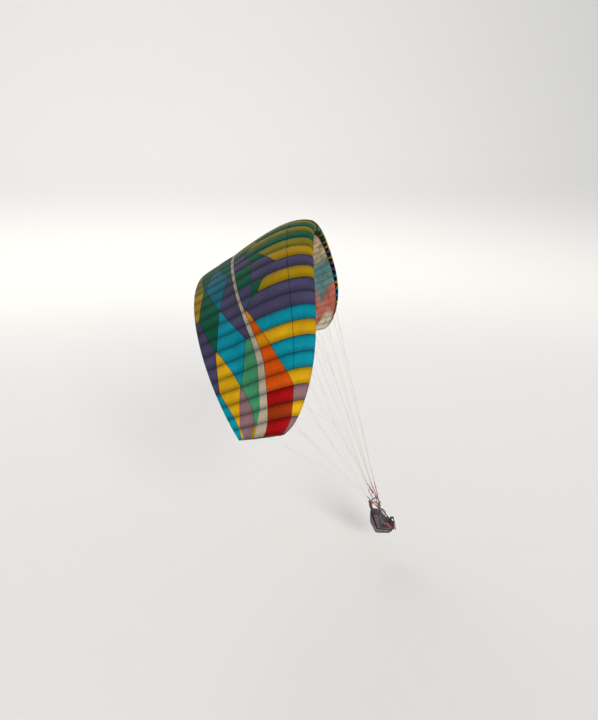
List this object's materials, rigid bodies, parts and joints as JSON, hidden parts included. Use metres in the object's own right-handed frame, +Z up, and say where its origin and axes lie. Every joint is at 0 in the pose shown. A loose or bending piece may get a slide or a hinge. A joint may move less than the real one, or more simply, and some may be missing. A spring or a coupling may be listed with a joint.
{
  "type": "paraglider",
  "caption": "Ram-air paraglider canopy with suspension lines, risers and a seated harness that swings below its carabiners.",
  "frame": {"origin": "on the centre rib's chord, three tenths behind the nose, where the air carries the canopy", "axes": "+X forward, +Y the rider's left, +Z up, with the canopy pitched back as it is kited"},
  "size_m": [4.2291, 9.4806, 7.0852],
  "materials": {
    "canopy_cloth": "coated ripstop nylon in coloured panels",
    "line_cord": "braided thin suspension cord",
    "link_steel": "polished stainless quick link",
    "alloy": "anodised alloy",
    "handle_web": "folded webbing",
    "webbing": "woven polyester webbing",
    "harness_shell": "coated pack cloth",
    "harness_padding": "padded cloth with air mesh"
  },
  "bodies": {
    "wing": {"canopy_1_left": "canopy_cloth", "canopy_1_right": "canopy_cloth", "canopy_2_left": "canopy_cloth", "canopy_2_right": "canopy_cloth", "canopy_3_left": "canopy_cloth", "canopy_3_right": "canopy_cloth", "canopy_4_left": "canopy_cloth", "canopy_4_right": "canopy_cloth", "canopy_5_left": "canopy_cloth", "canopy_5_right": "canopy_cloth", "line_a1_left": "line_cord", "line_a1_right": "line_cord", "line_a2_left": "line_cord", "line_a2_right": "line_cord", "line_a3_left": "line_cord", "line_a3_right": "line_cord", "line_b1_left": "line_cord", "line_b1_right": "line_cord", "line_b2_left": "line_cord", "line_b2_right": "line_cord", "line_b3_left": "line_cord", "line_b3_right": "line_cord", "line_c1_left": "line_cord", "line_c1_right": "line_cord", "line_c2_left": "line_cord", "line_c2_right": "line_cord", "line_c3_left": "line_cord", "line_c3_right": "line_cord", "link_a_left": "link_steel", "link_a_right": "link_steel", "link_b_left": "link_steel", "link_b_right": "link_steel", "link_c_left": "link_steel", "link_c_right": "link_steel", "line_stabilo_left": "line_cord", "line_stabilo_right": "line_cord", "riser_left": "webbing", "riser_right": "webbing", "brake_handle_left": "handle_web", "brake_handle_right": "handle_web", "line_brake_left": "line_cord", "line_brake_right": "line_cord"},
    "harness": {"carabiner_left": "alloy", "carabiner_right": "alloy", "side_panel_left": "harness_shell", "side_panel_right": "harness_shell", "main_strap_left": "webbing", "main_strap_right": "webbing", "shoulder_strap_left": "harness_padding", "shoulder_strap_right": "harness_padding", "leg_strap_left": "webbing", "leg_strap_right": "webbing", "seat": "harness_padding", "back_rest": "harness_padding", "protector": "harness_shell", "chest_strap": "webbing", "speed_bar": "alloy"}
  },
  "joints": [
    {"name": "harness_swing", "type": "hinge", "parent": "wing", "child": "harness", "pos_m": [2.21417, 0, -6.04073], "axis": [0, 1, 0], "range_deg": [-40, 60]}
  ]
}
